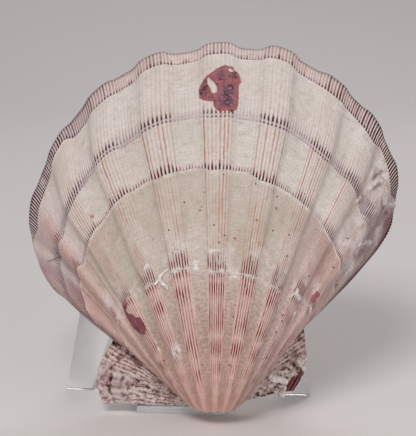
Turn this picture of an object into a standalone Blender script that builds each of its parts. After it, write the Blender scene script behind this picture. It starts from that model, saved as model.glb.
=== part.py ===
"""Lion paw scallop shell, one valve, resting on a clear folded display stand.

The valve faces -Y, leans back, and stands on the edge of its hinge. Metres, +Z up.
"""

import math

import bmesh
import bpy
import numpy as np
from mathutils import Euler, Vector

# Where the hinge line is, and how far the valve leans back
HINGE_POINT = Vector((-0.00025, -0.0185, 0.0033))
VALVE_LEAN = math.radians(25.0)

# Growth of the valve: every older edge is a smaller copy, turned forward about the hinge
SPIRAL_RATE = 1.2
BEAK_ANGLE = math.radians(108.0)
FIRST_GROWTH = 0.045
OLDER_FAN_WIDENING = 0.14
WIDENING_ENDS_AT = 46.0

# Outline of the fan: rib number, angle from the middle (degrees), distance from the beak (metres)
FAN_OUTLINE = (
    (-6.5, -58.06, 0.0482), (-6.0, -56.4, 0.0605), (-5.5, -55.6, 0.0728), (-5.0, -54.0, 0.0842),
    (-4.5, -49.8, 0.0985), (-4.0, -43.8, 0.1105), (-3.0, -31.2, 0.1285), (-2.0, -20.6, 0.1413),
    (-1.0, -10.3, 0.1495), (0.0, 0.8, 0.1528), (1.0, 11.0, 0.1532), (2.0, 21.2, 0.1462),
    (3.0, 30.0, 0.1372), (4.0, 39.0, 0.1225), (4.5, 43.0, 0.1115), (5.0, 46.0, 0.099),
    (5.5, 48.3, 0.076), (6.0, 49.6, 0.0482),
)

# Outer edge of each ear, from the end of the hinge to the notch beside the fan (x, height)
LEFT_EAR = ((-0.0443, 0.0), (-0.0469, 0.008), (-0.0455, 0.0168), (-0.0409, 0.0255))
RIGHT_EAR = ((0.0366, 0.0311), (0.0371, 0.0215), (0.0362, 0.0129), (0.0318, 0.0052))

# Ribs, wall and edge
RIB_HEIGHT = 0.0017
EDGE_THICKNESS = 0.0022
WALL_AT_EDGE = 0.0024
WALL_AT_BEAK = 0.0052
RIM_STEP_AT = 0.948
RIM_STEP_HALF_LENGTH = 0.004
RIM_STEP_DROP = 0.0009
CAVITY_FROM = 0.22

# How finely the solid is divided
STEPS_PER_RIB = 6
EAR_STEPS = 7
GROWTH_STEPS = (
    0.045, 0.06, 0.08, 0.105, 0.13, 0.16, 0.19, 0.22, 0.26, 0.31, 0.37, 0.43, 0.49,
    0.55, 0.612, 0.628, 0.69, 0.765, 0.78, 0.84, 0.9, 0.944, 0.952, 1.0,
)

# The stand, folded from one clear sheet
SHEET = 0.003
STAND_AT = Vector((-0.01205, -0.0042, 0.0))
STAND_TURN = math.radians(-4.5)
LEG_SLOPE = math.radians(14.0)
LEG_LENGTH = 0.042
BAND_HEIGHT = 0.010
TONGUE_SLOPE = math.radians(14.0)
LEDGE_LENGTH = 0.0085
FOOT_HALF_WIDTH = 0.0512
EDGE_TAPER = math.tan(math.radians(12.0))
LEG_AT_FOOT = 0.0105
CUTOUT_TAPER = math.tan(math.radians(19.0))
TONGUE_GAP = 0.0025
TONGUE_HALF_WIDTH = 0.018
UPPER_BEND = 0.006
LOWER_BEND = 0.005
BEND_STEPS = 8
LEG_STEPS = 4


def clear_scene():
    for old in list(bpy.data.objects):
        bpy.data.objects.remove(old, do_unlink=True)


def make_collection(name):
    collection = bpy.data.collections.new(name)
    bpy.context.scene.collection.children.link(collection)
    return collection


def make_material(name, colour, roughness, transmission=0.0, ior=1.45):
    material = bpy.data.materials.new(name)
    material.use_nodes = True
    shader = material.node_tree.nodes["Principled BSDF"]
    shader.inputs["Base Color"].default_value = (*colour, 1.0)
    shader.inputs["Roughness"].default_value = roughness
    shader.inputs["Metallic"].default_value = 0.0
    shader.inputs["Transmission Weight"].default_value = transmission
    shader.inputs["IOR"].default_value = ior
    return material


def smooth_step(low, high, value):
    ratio = np.clip((value - low) / (high - low), 0.0, 1.0)
    return ratio * ratio * (3.0 - 2.0 * ratio)


def growth_turn(growth):
    """Angle by which an older edge is turned forward about the hinge line."""
    return np.minimum(-np.log(growth) / SPIRAL_RATE, BEAK_ANGLE)


def grow(x, height, growth):
    """Place a point of the opening's outline on the older edge with this growth."""
    turn = growth_turn(growth)
    return np.stack([
        growth * x,
        growth * height * np.cos(turn),
        growth * height * np.sin(turn) + EDGE_THICKNESS,
    ], axis=-1)


def curve_through(places, values, at):
    """Smooth curve through the given points, with each slope taken from its neighbours."""
    slopes = np.gradient(values, places)
    index = np.clip(np.searchsorted(places, at, side="right") - 1, 0, len(places) - 2)
    width = places[index + 1] - places[index]
    t = np.clip((at - places[index]) / width, -0.2, 1.2)
    start = (1.0 + 2.0 * t) * (1.0 - t) ** 2 * values[index]
    end = t * t * (3.0 - 2.0 * t) * values[index + 1]
    leave = t * (1.0 - t) ** 2 * width * slopes[index]
    arrive = t * t * (t - 1.0) * width * slopes[index + 1]
    return start + end + leave + arrive


def fan_outline(rib):
    """Angle and distance from the beak on the outline of the opening."""
    places, angles, reaches = np.array(FAN_OUTLINE).T
    return curve_through(places, angles, rib), curve_through(places, reaches, rib)


def fan_surface(rib, growth):
    """Smooth surface of the fan, without its ribs."""
    angle, reach = fan_outline(rib)
    middle = 1.0 - np.minimum(np.abs(angle) / WIDENING_ENDS_AT, 1.0) ** 4
    side = OLDER_FAN_WIDENING - 0.04 * np.tanh(angle / 8.0)
    widening = side * middle * (1.0 - smooth_step(0.72, 1.0, growth))
    angle = np.radians(angle * (1.0 + widening))
    return grow(reach * np.sin(angle), reach * np.cos(angle), growth)


def fan_normal(rib, growth):
    """Outward direction of the smooth fan, from neighbouring points."""
    across = fan_surface(rib + 0.12, growth) - fan_surface(rib - 0.12, growth)
    along = fan_surface(rib, growth * 1.01) - fan_surface(rib, growth * 0.99)
    normal = np.cross(across, along)
    return normal / np.linalg.norm(normal, axis=-1, keepdims=True)


def rib_shape(rib):
    """1 on a rib's flat top, -1 in the hollow beside it."""
    return np.tanh(1.8 * (np.cos(2.0 * np.pi * rib) + 0.05)) / math.tanh(1.9)


def fan_relief(rib, growth):
    """Height of the ribs and of the last growth step over the smooth fan."""
    side = 1.0 - 0.8 * smooth_step(3.2, 6.0, np.abs(rib + 0.25))
    flatter_rim = 1.0 - 0.5 * smooth_step(0.78, 1.0, growth) * smooth_step(0.5, 2.2, np.abs(rib))
    ribs = RIB_HEIGHT * rib_shape(rib) * side * flatter_rim * growth ** 1.1
    centre = 1.0 - smooth_step(4.6, 5.8, np.abs(rib + 0.25))
    begins = RIM_STEP_AT - RIM_STEP_HALF_LENGTH
    ends = RIM_STEP_AT + RIM_STEP_HALF_LENGTH
    return ribs - RIM_STEP_DROP * smooth_step(begins, ends, growth) * centre


def outer_point(rib, growth):
    return fan_surface(rib, growth) + fan_normal(rib, growth) * fan_relief(rib, growth)[..., None]


def inner_point(rib, growth):
    """Inside face of the fan, which ends at the hinge plate near the beak."""
    held = np.maximum(growth, CAVITY_FROM)
    wall = WALL_AT_EDGE + (WALL_AT_BEAK - WALL_AT_EDGE) * (1.0 - held) ** 2
    soft = 0.85 * fan_relief(rib, held) - wall
    inside = fan_surface(rib, held) + fan_normal(rib, held) * soft[..., None]
    angle, reach = fan_outline(rib)
    reach = 0.9 * growth * reach
    angle = np.radians(angle)
    plate = np.stack([reach * np.sin(angle), reach * np.cos(angle), np.zeros_like(reach)], axis=-1)
    share = smooth_step(FIRST_GROWTH, CAVITY_FROM, growth)[..., None]
    return plate + (inside - plate) * share


def ear_outline(ear, share):
    points = np.array(ear)
    places = np.linspace(0.0, 1.0, len(points))
    return np.interp(share, places, points[:, 0]), np.interp(share, places, points[:, 1])


def make_valve(collection, material):
    """One closed solid: a flat grid is thickened, then both faces are grown into the shell."""
    first_rib = FAN_OUTLINE[0][0]
    last_rib = FAN_OUTLINE[-1][0]
    fan_steps = round((last_rib - first_rib) * STEPS_PER_RIB)
    columns = EAR_STEPS + fan_steps + EAR_STEPS
    rows = len(GROWTH_STEPS) - 1

    mesh_edit = bmesh.new()
    bmesh.ops.create_grid(mesh_edit, x_segments=columns, y_segments=rows, size=0.5)
    inner_verts = list(mesh_edit.verts)
    raised = bmesh.ops.extrude_face_region(mesh_edit, geom=list(mesh_edit.faces))
    outer_verts = [item for item in raised["geom"] if isinstance(item, bmesh.types.BMVert)]

    for verts, is_outer in ((inner_verts, False), (outer_verts, True)):
        column = np.array([round((vert.co.x + 0.5) * columns) for vert in verts])
        row = np.array([round((vert.co.y + 0.5) * rows) for vert in verts])
        growth = np.array(GROWTH_STEPS)[row]
        rib = np.clip(first_rib + (column - EAR_STEPS) / STEPS_PER_RIB, first_rib, last_rib)
        place = outer_point(rib, growth) if is_outer else inner_point(rib, growth)

        for ear, in_ear, share in (
            (LEFT_EAR, column <= EAR_STEPS, column / EAR_STEPS),
            (RIGHT_EAR, column >= columns - EAR_STEPS, (column - columns + EAR_STEPS) / EAR_STEPS),
        ):
            x, height = ear_outline(ear, np.clip(share, 0.0, 1.0))
            if is_outer:
                ear_place = grow(x, height, growth)
            else:
                ear_place = np.stack([growth * x, growth * height, 0.0 * x], axis=-1)
            place[in_ear] = ear_place[in_ear]

        for vert, (x, height, forward) in zip(verts, place):
            vert.co = (x, -forward, height)

    bmesh.ops.recalc_face_normals(mesh_edit, faces=list(mesh_edit.faces))
    bmesh.ops.triangulate(mesh_edit, faces=list(mesh_edit.faces))
    mesh = bpy.data.meshes.new("valve")
    mesh_edit.to_mesh(mesh)
    mesh_edit.free()
    mesh.shade_smooth()

    valve = bpy.data.objects.new("valve", mesh)
    valve.location = HINGE_POINT
    valve.rotation_euler = Euler((-VALVE_LEAN, 0.0, 0.0))
    valve.data.materials.append(material)
    collection.objects.link(valve)
    return valve


def walk(start, heading, lengths_and_turns):
    """Points along a folded sheet seen from the side, as distance walked and place (y, z)."""
    place = Vector(start)
    walked = 0.0
    points = [(walked, place.copy())]
    for length, turn, steps in lengths_and_turns:
        half_turn = turn / steps / 2.0
        chord = length / steps * (math.sin(half_turn) / half_turn if half_turn else 1.0)
        for _ in range(steps):
            heading += half_turn
            place += Vector((math.sin(heading), -math.cos(heading))) * chord
            heading += half_turn
            walked += length / steps
            points.append((walked, place.copy()))
    return points


def leg_outer_edge(walked):
    return FOOT_HALF_WIDTH - (LEG_LENGTH - walked) * EDGE_TAPER


def leg_inner_edge(walked):
    """Edge of the cut-out, which stays level along the band above it."""
    below_band = LEG_LENGTH - max(walked, BAND_HEIGHT)
    return FOOT_HALF_WIDTH - LEG_AT_FOOT - below_band * CUTOUT_TAPER


def tongue_half_width(walked):
    return min(leg_inner_edge(walked) - TONGUE_GAP, TONGUE_HALF_WIDTH)


def make_easel(collection, material):
    """The sheet is a flat blank: two legs under a band, and a tongue that is folded into a ledge."""
    fold_forward = LEG_SLOPE + TONGUE_SLOPE
    fold_flat = math.pi / 2.0 - TONGUE_SLOPE
    top_height = LEG_LENGTH * math.cos(LEG_SLOPE) + SHEET / 2.0 * math.sin(LEG_SLOPE)
    top = (0.0, top_height)

    upper = UPPER_BEND * fold_forward
    lower = LOWER_BEND * fold_flat
    drop_after_band = top_height - BAND_HEIGHT * math.cos(LEG_SLOPE)
    bend_drop = UPPER_BEND * (math.sin(LEG_SLOPE) + math.sin(TONGUE_SLOPE))
    foot_drop = LOWER_BEND * (1.0 - math.sin(TONGUE_SLOPE))
    straight = (drop_after_band - bend_drop - foot_drop - SHEET / 2.0) / math.cos(TONGUE_SLOPE)
    tongue_walk = walk(top, LEG_SLOPE, (
        (BAND_HEIGHT, 0.0, 1),
        (upper, -fold_forward, BEND_STEPS),
        (straight, 0.0, 2),
        (lower, -fold_flat, BEND_STEPS),
        (LEDGE_LENGTH, 0.0, 1),
    ))
    leg_walk = walk(top, LEG_SLOPE, (
        (BAND_HEIGHT, 0.0, 1),
        (LEG_LENGTH - BAND_HEIGHT, 0.0, LEG_STEPS),
    ))
    rows = len(tongue_walk) - 1

    mesh_edit = bmesh.new()
    bmesh.ops.create_grid(mesh_edit, x_segments=5, y_segments=rows, size=0.5)
    removed = []
    for face in mesh_edit.faces:
        centre = face.calc_center_median()
        column = int((centre.x + 0.5) * 5)
        row = int((0.5 - centre.y) * rows)
        in_gap = column in (1, 3) and row >= 1
        past_leg = column in (0, 4) and row >= len(leg_walk) - 1
        if in_gap or past_leg:
            removed.append(face)
    for vert in mesh_edit.verts:
        column = round((vert.co.x + 0.5) * 5)
        row = round((0.5 - vert.co.y) * rows)
        side = -1.0 if column < 3 else 1.0
        if column in (2, 3):
            walked, place = tongue_walk[row]
            half_width = tongue_half_width(walked)
        else:
            walked, place = leg_walk[min(row, len(leg_walk) - 1)]
            half_width = leg_outer_edge(walked) if column in (0, 5) else leg_inner_edge(walked)
        vert.co = (side * half_width, place.x, place.y)
    bmesh.ops.delete(mesh_edit, geom=removed, context="FACES")

    mesh = bpy.data.meshes.new("easel")
    mesh_edit.to_mesh(mesh)
    mesh_edit.free()

    easel = bpy.data.objects.new("easel", mesh)
    easel.location = STAND_AT
    easel.rotation_euler = Euler((0.0, 0.0, STAND_TURN))
    easel.data.materials.append(material)
    collection.objects.link(easel)

    solid = easel.modifiers.new("sheet thickness", "SOLIDIFY")
    solid.thickness = SHEET
    solid.offset = 0.0
    solid.use_even_offset = True
    triangles = easel.modifiers.new("triangles", "TRIANGULATE")
    triangles.min_vertices = 4
    return easel


def main():
    clear_scene()
    collection = make_collection("lion_paw_scallop_shell")
    shell = make_material("shell", (0.70, 0.63, 0.58), 0.55)
    acrylic = make_material("clear_acrylic", (0.97, 0.99, 0.99), 0.03, transmission=1.0, ior=1.49)
    make_valve(collection, shell)
    make_easel(collection, acrylic)


main()
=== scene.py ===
"""Looks of the lion paw scallop shell on its clear stand, built on the frame in metres, +Z up."""

import math

import bmesh
import bpy
import numpy as np
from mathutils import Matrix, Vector


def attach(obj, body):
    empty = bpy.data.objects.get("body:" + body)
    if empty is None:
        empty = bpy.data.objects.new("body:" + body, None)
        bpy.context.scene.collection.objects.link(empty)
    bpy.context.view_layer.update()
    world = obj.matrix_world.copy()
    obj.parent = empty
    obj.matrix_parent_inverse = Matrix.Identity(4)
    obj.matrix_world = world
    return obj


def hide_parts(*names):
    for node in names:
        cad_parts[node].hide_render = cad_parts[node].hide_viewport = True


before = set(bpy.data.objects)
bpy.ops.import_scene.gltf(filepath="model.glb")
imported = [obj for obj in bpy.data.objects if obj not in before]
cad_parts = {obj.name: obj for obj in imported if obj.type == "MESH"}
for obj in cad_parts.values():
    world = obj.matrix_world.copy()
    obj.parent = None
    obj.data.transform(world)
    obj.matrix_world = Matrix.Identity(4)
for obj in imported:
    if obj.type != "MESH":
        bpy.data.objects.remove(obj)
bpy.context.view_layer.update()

# The valve's shape, as in the CAD model
HINGE_POINT = Vector((-0.00025, -0.0185, 0.0033))
VALVE_LEAN = math.radians(25.0)
SPIRAL_RATE = 1.2
BEAK_ANGLE = math.radians(108.0)
FIRST_GROWTH = 0.045
OLDER_FAN_WIDENING = 0.14
WIDENING_ENDS_AT = 46.0
FAN_OUTLINE = (
    (-6.5, -58.06, 0.0482), (-6.0, -56.4, 0.0605), (-5.5, -55.6, 0.0728), (-5.0, -54.0, 0.0842),
    (-4.5, -49.8, 0.0985), (-4.0, -43.8, 0.1105), (-3.0, -31.2, 0.1285), (-2.0, -20.6, 0.1413),
    (-1.0, -10.3, 0.1495), (0.0, 0.8, 0.1528), (1.0, 11.0, 0.1532), (2.0, 21.2, 0.1462),
    (3.0, 30.0, 0.1372), (4.0, 39.0, 0.1225), (4.5, 43.0, 0.1115), (5.0, 46.0, 0.099),
    (5.5, 48.3, 0.076), (6.0, 49.6, 0.0482),
)
LEFT_EAR = ((-0.0443, 0.0), (-0.0469, 0.008), (-0.0455, 0.0168), (-0.0409, 0.0255))
RIGHT_EAR = ((0.0366, 0.0311), (0.0371, 0.0215), (0.0362, 0.0129), (0.0318, 0.0052))
RIB_HEIGHT = 0.0017
EDGE_THICKNESS = 0.0022
WALL_AT_EDGE = 0.0024
WALL_AT_BEAK = 0.0052
RIM_STEP_DROP = 0.0009
CAVITY_FROM = 0.22

# Division of the shell into a grid, which is coarser near the beak and on the inside
FAN_COLUMNS = 840
EAR_COLUMNS = 54
PER_RIBLET = 3
FINE_ROWS = 83
COARSE_ROWS = 24
FINE_FROM = 0.34
COARSE_STEP = 3
INSIDE_STEP = 6
INNER = np.s_[::2, ::INSIDE_STEP]
RIM_ROUNDING = 0.00035
RIM_WAVE = 0.00022

# Heights and depths of the fan's fine relief
SECOND_STEP_DROP = 0.00045
SECOND_STEP_NOTCH = 0.00020
THIRD_STEP_DROP = 0.00024
OUTER_ROW_DROP = 0.00022
RIBLET_HEIGHT = 0.00021
STRIP_EDGE_HEIGHT = 0.00026
CHALK_CRUST_HEIGHT = 0.0007
SWELL_HEIGHT = 0.00034
POCK_DEPTH = 0.00016
WORN_DEPTH = 0.00060
RIDGE_HEIGHT = 0.0010
SHADE_DEPTH = 0.0006
LUMP_HEIGHT = 0.00045

# The same for the ears
EAR_RIB_HEIGHT = 0.0006
KNOB_HEIGHT = 0.0013
EAR_NOTCH_DEPTH = 0.0005
KNOB_BULGE = 0.0006

# Growth times this is about the distance from the beak in millimetres
MILLIMETRES = 150.0

# The third step has a second row of ticks this far past the first, in millimetres
OUTER_ROW = 1.7

# Faces of the easel narrower than this are its sawn edges
WIDEST_SAWN_EDGE = 0.0033
EASED_EDGE = 0.0003

# The floor lies this far below the easel's feet
BELOW_FEET = 0.0001

# The camera looks down at the photo's angle
CAMERA_PLACE = (-0.00267, -0.53113, 0.18884)
CAMERA_DOWN = math.radians(12.0)
LENS = 110.7
SENSOR_WIDTH = 36.0

# Where growth paused, as growth at each rib: the chalky line, two growth steps and the rim step
PAUSE_RIBS = tuple(half / 2.0 for half in range(-13, 13))
CHALKY_LINE = (
    .48, .48, .48, .48, .48, .475, .462, .447, .434, .424, .422, .423, .415, .407, .406, .405,
    .404, .406, .412, .430, .445, .460, .480, .50, .51, .52,
)
SECOND_STEP = (
    .66, .68, .70, .712, .712, .678, .654, .643, .643, .638, .638, .627, .631, .616, .619, .600,
    .608, .601, .610, .597, .611, .612, .625, .64, .66, .68,
)
THIRD_STEP = (
    .79, .80, .81, .82, .825, .783, .773, .755, .767, .761, .758, .754, .760, .746, .750, .736,
    .747, .732, .748, .746, .752, .768, .79, .80, .82, .84,
)
RIM_STEP = (
    .975, .975, .975, .982, .984, .936, .944, .956, .932, .932, .940, .944, .948, .948, .948, .946,
    .944, .930, .938, .922, .956, .934, .985, .960, .95, .968,
)
PAUSES = (CHALKY_LINE, SECOND_STEP, THIRD_STEP, RIM_STEP)
PAUSES_ON_MIDDLE_ROWS = (0.410, 0.617, 0.757, 0.9485)


def rise(low, high, value):
    """0 up to low, 1 from high on, and smooth between them."""
    ratio = np.clip((value - low) / (high - low), 0.0, 1.0)
    return ratio * ratio * (3.0 - 2.0 * ratio)


def fall(low, high, value):
    return 1.0 - rise(low, high, value)


def bump(value, centre, width):
    return np.exp(-((value - centre) / width) ** 2)


def unit(vectors):
    return vectors / np.maximum(np.linalg.norm(vectors, axis=-1, keepdims=True), 1e-12)


def grow(x, height, growth):
    """A point of the edge, as it lay when the valve had this share of its growth."""
    turn = np.minimum(-np.log(growth) / SPIRAL_RATE, BEAK_ANGLE)
    return np.stack([
        growth * x,
        growth * height * np.cos(turn),
        growth * height * np.sin(turn) + EDGE_THICKNESS,
    ], axis=-1)


def curve_through(places, values, at):
    """A smooth curve through known values, read at these places."""
    slopes = np.gradient(values, places)
    index = np.clip(np.searchsorted(places, at, side="right") - 1, 0, len(places) - 2)
    width = places[index + 1] - places[index]
    t = np.clip((at - places[index]) / width, -0.2, 1.2)
    start = (1.0 + 2.0 * t) * (1.0 - t) ** 2 * values[index]
    end = t * t * (3.0 - 2.0 * t) * values[index + 1]
    leave = t * (1.0 - t) ** 2 * width * slopes[index]
    arrive = t * t * (t - 1.0) * width * slopes[index + 1]
    return start + end + leave + arrive


def fan_outline(rib):
    places, angles, reaches = np.array(FAN_OUTLINE).T
    return curve_through(places, angles, rib), curve_through(places, reaches, rib)


def fan_surface(rib, growth):
    """The smooth fan without its relief."""
    angle, reach = fan_outline(rib)
    middle = 1.0 - np.minimum(np.abs(angle) / WIDENING_ENDS_AT, 1.0) ** 4
    side = OLDER_FAN_WIDENING - 0.04 * np.tanh(angle / 8.0)
    widening = side * middle * fall(0.72, 1.0, growth)
    angle = np.radians(angle * (1.0 + widening))
    return grow(reach * np.sin(angle), reach * np.cos(angle), growth)


def fan_normal(rib, growth):
    across = fan_surface(rib + 0.12, growth) - fan_surface(rib - 0.12, growth)
    along = fan_surface(rib, growth * 1.01) - fan_surface(rib, growth * 0.99)
    return unit(np.cross(across, along))


def rib_relief(rib, growth):
    """Height of the main ribs."""
    shape = np.tanh(1.8 * (np.cos(2.0 * np.pi * rib) + 0.05)) / math.tanh(1.9)
    side = 1.0 - 0.8 * rise(3.2, 6.0, np.abs(rib + 0.25))
    flatter_rim = 1.0 - 0.5 * rise(0.78, 1.0, growth) * rise(0.5, 2.2, np.abs(rib))
    return RIB_HEIGHT * shape * side * flatter_rim * growth ** 1.1


def rim_drop(rib, passed):
    """How far the rim lies below the fan, once its step is passed."""
    return RIM_STEP_DROP * passed * fall(4.6, 5.8, np.abs(rib + 0.25))


def ear_outline(ear, share):
    points = np.array(ear)
    places = np.linspace(0.0, 1.0, len(points))
    return np.interp(share, places, points[:, 0]), np.interp(share, places, points[:, 1])


def ear_place(ear, share, growth):
    x, height = ear_outline(ear, share)
    return grow(x, height, growth)


def to_world(place):
    """From (x, height, forward) on the leaning valve to the row's frame."""
    cos, sin = math.cos(VALVE_LEAN), math.sin(VALVE_LEAN)
    x, height, forward = place[..., 0], place[..., 1], place[..., 2]
    return np.stack([
        HINGE_POINT.x + x,
        HINGE_POINT.y - forward * cos + height * sin,
        HINGE_POINT.z + forward * sin + height * cos,
    ], axis=-1)


def chance(whole_x, whole_y, seed):
    """A repeatable number from 0 to 1 for each pair of whole numbers."""
    mixed = np.sin(whole_x * 127.1 + whole_y * 311.7 + seed * 74.7) * 43758.5453
    return mixed - np.floor(mixed)


def noise(x, y, seed):
    """Smooth noise from 0 to 1, one lump to each unit."""
    left, low = np.floor(x), np.floor(y)
    a, b = x - left, y - low
    a, b = a * a * (3.0 - 2.0 * a), b * b * (3.0 - 2.0 * b)
    below = chance(left, low, seed) * (1.0 - a) + chance(left + 1, low, seed) * a
    above = chance(left, low + 1, seed) * (1.0 - a) + chance(left + 1, low + 1, seed) * a
    return below * (1.0 - b) + above * b


def layered_noise(x, y, seed, layers=4):
    total = sum(noise(x * 2 ** k, y * 2 ** k, seed + k) / 2 ** k for k in range(layers))
    return total / sum(1.0 / 2 ** k for k in range(layers))


def linear(red, green, blue):
    """Colour as seen on a screen, 0 to 255, as light."""
    colour = np.array([red, green, blue]) / 255.0
    return np.where(colour <= 0.04045, colour / 12.92, ((colour + 0.055) / 1.055) ** 2.4)


# The grid: columns run along the edge from the left end of the hinge to the right one
def rim_ribs():
    """Rib numbers of the columns, closer together in the hollows and on the flanks."""
    first, last = FAN_OUTLINE[0][0], FAN_OUTLINE[-1][0]
    ribs = np.linspace(first, last, 4001)
    angle, reach = fan_outline(ribs)
    angle = np.radians(angle)
    edge = np.stack([reach * np.sin(angle), reach * np.cos(angle)], axis=-1)
    middle = (ribs[1:] + ribs[:-1]) / 2.0
    crowding = 1.0 - 0.13 * np.cos(2.0 * np.pi * middle)
    crowding *= 1.0 + 0.22 * rise(2.2, 4.8, -middle) + 0.12 * rise(2.2, 4.8, middle)
    steps = np.linalg.norm(np.diff(edge, axis=0), axis=-1) * crowding
    walked = np.concatenate([[0.0], np.cumsum(steps)])
    return np.interp(np.linspace(0.0, walked[-1], FAN_COLUMNS + 1), walked, ribs)


def pause(values, rib):
    """Growth at a pause, level across each crest and each hollow."""
    flat = np.floor(2.0 * rib) / 2.0 + 0.5 * rise(0.2, 0.8, 2.0 * rib - np.floor(2.0 * rib))
    return np.interp(flat, PAUSE_RIBS, values)


def row_growths():
    """Growth of the rows at the middle rib, close together at each pause."""
    coarse = np.geomspace(FIRST_GROWTH, FINE_FROM, COARSE_ROWS + 1)[:-1]
    at = np.linspace(FINE_FROM, 1.0, 4001)
    weight = 1.0 + 2.6 * bump(at, 0.425, 0.035)
    for place, width, extra in (
        (0.617, 0.004, 9.0), (0.757, 0.004, 9.0), (0.769, 0.004, 6.0), (0.9485, 0.004, 12.0),
    ):
        weight += extra * bump(at, place, width)
    total = np.concatenate([[0.0], np.cumsum((weight[1:] + weight[:-1]) / 2.0)])
    fine = np.interp(np.linspace(0.0, total[-1], FINE_ROWS + 1), total, at)
    return np.concatenate([coarse, fine])


def follow_pauses(growth, rib):
    """Bends each row so that it follows the pauses across the ribs."""
    anchors = [np.full_like(rib, FIRST_GROWTH)]
    anchors += [pause(values, rib) for values in PAUSES]
    anchors += [np.ones_like(rib)]
    middle = np.array([FIRST_GROWTH, *PAUSES_ON_MIDDLE_ROWS, 1.0])
    index = np.clip(np.searchsorted(middle, growth, side="right") - 1, 0, 4)
    share = (growth - middle[index]) / (middle[index + 1] - middle[index])
    low = np.choose(index, anchors[:-1])
    high = np.choose(index, anchors[1:])
    return low + (high - low) * share


fan_ribs = rim_ribs()
columns = FAN_COLUMNS + 2 * EAR_COLUMNS
column = np.arange(columns + 1)
rib_of_column = np.concatenate([
    np.full(EAR_COLUMNS, fan_ribs[0]), fan_ribs, np.full(EAR_COLUMNS, fan_ribs[-1]),
])
rows = row_growths()


def on_grid(values):
    return np.broadcast_to(values, (len(rows), columns + 1))


RIB = on_grid(rib_of_column)
RIBLET = on_grid((column - EAR_COLUMNS) / PER_RIBLET)
GROWTH = follow_pauses(on_grid(rows[:, None]), RIB)
IN_LEFT_EAR = on_grid(column <= EAR_COLUMNS)
IN_RIGHT_EAR = on_grid(column >= columns - EAR_COLUMNS)
IN_EAR = IN_LEFT_EAR | IN_RIGHT_EAR

# Each ear with its place in the grid, the share of its outline that is passed and its seed
left_share = np.clip(column / EAR_COLUMNS, 0.0, 1.0)
right_share = np.clip((column - columns + EAR_COLUMNS) / EAR_COLUMNS, 0.0, 1.0)
EARS = (
    (LEFT_EAR, IN_LEFT_EAR, on_grid(left_share), 101),
    (RIGHT_EAR, IN_RIGHT_EAR, on_grid(right_share), 202),
)

# How each place lies to the ribs and, in millimetres, to the pauses
CREST_NUMBER = np.round(RIB)
OFF_CREST = RIB - CREST_NUMBER
FROM_CREST = np.abs(OFF_CREST)
CREST = fall(0.225, 0.285, FROM_CREST)
PAST_CHALKY, PAST_SECOND, PAST_THIRD, PAST_RIM = (
    (GROWTH - pause(values, RIB)) * MILLIMETRES for values in PAUSES
)
LOWER = fall(-0.8, 0.2, PAST_CHALKY)
STRIPS = LOWER * CREST
LEFT_FLANK = rise(3.0, 4.7, -RIB)
RIGHT_FLANK = rise(2.6, 4.6, RIB)
FLANKS = LEFT_FLANK + RIGHT_FLANK
RIM_SIDE = rise(1.2, 4.0, np.abs(RIB + 0.2))
RIGHT_TAIL = rise(4.40, 4.62, RIB) * fall(5.5, 5.9, RIB) * rise(0.90, 0.94, GROWTH)

# The fine lines: counted across the whole fan, and for the lower part across each rib
FURROW = np.floor(RIBLET)
line_rate = 0.78 + 0.11 * rise(1.4, 2.4, -rib_of_column) + 0.24 * rise(1.0, 1.9, rib_of_column)
LINE_PHASE = on_grid(np.cumsum(line_rate) / PER_RIBLET)
lines_per_rib = 5.0 + 9.5 * rise(0.06, 0.42, GROWTH)
lines_per_rib = lines_per_rib * (1.0 - 0.22 * rise(0.4, 0.7, np.abs(RIB)))
LOWER_PHASE = OFF_CREST * lines_per_rib + 0.5
LOWER_LINE = np.floor(LOWER_PHASE)

# The ears: share down from the notch, and where they are knobby, smooth or crumbly
DOWN = on_grid(np.where(column <= EAR_COLUMNS, 1.0 - left_share, right_share))
KNOBBY = rise(0.26, 0.42, DOWN)
EAR_CORNER = IN_RIGHT_EAR * rise(0.66, 0.74, DOWN) * rise(0.84, 0.89, GROWTH)
CRUMBLY = np.where(
    IN_RIGHT_EAR,
    (0.45 + 0.55 * rise(0.30, 0.50, DOWN)) * (1.0 - EAR_CORNER),
    IN_LEFT_EAR * (0.45 + 0.30 * KNOBBY - 0.45 * KNOBBY * rise(0.6, 0.85, GROWTH)),
)


def after(distance, length):
    """1 just past a pause, falling off over this length in millimetres, and 0 before it."""
    return rise(-0.15, 0.15, distance) * np.exp(-np.maximum(distance, 0.0) / length)


def dash(distance, length):
    """1 from a pause on for this length in millimetres, then fading, and 0 before it."""
    return rise(-0.12, 0.12, distance) * fall(0.45, 1.5, distance / length)


def patchy(per_rib, per_growth, seed, shift=0.0, layers=4):
    """Layered noise over the shell, with this many lumps to a rib and to the whole growth."""
    return layered_noise(RIB * per_rib + shift, GROWTH * per_growth, seed, layers)


def furrow_chance(seed):
    return chance(FURROW, 1.0, seed)


def worn_right():
    """The eroded, chalky right side."""
    under_rim = bump(PAST_RIM, -4.5, 4.5) * rise(1.9, 2.5, RIB)
    side = rise(3.2, 3.9, RIB) * rise(1.0, 4.0, PAST_SECOND)
    side = side * (0.35 + 0.45 * fall(-14.0, -6.0, PAST_RIM))
    region = np.maximum(under_rim, side) * fall(-1.0, 0.0, PAST_RIM)
    patches = rise(0.38, 0.60, patchy(3.0, 26.0, 11, 9.0))
    return np.clip(region * patches * (1.0 - RIGHT_TAIL), 0.0, 1.0)


TICK_PATCH = bump(RIB, 3.95, 0.6) * rise(0.742, 0.757, GROWTH) * fall(0.82, 0.89, GROWTH)
WORN = worn_right() * (1.0 - 0.75 * TICK_PATCH)
PALE_STREAK = np.clip(
    bump(RIB, -3.6, 0.15) + bump(RIB, -4.42, 0.15) + 0.6 * bump(RIB, 3.5, 0.12), 0.0, 1.0,
)


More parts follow.
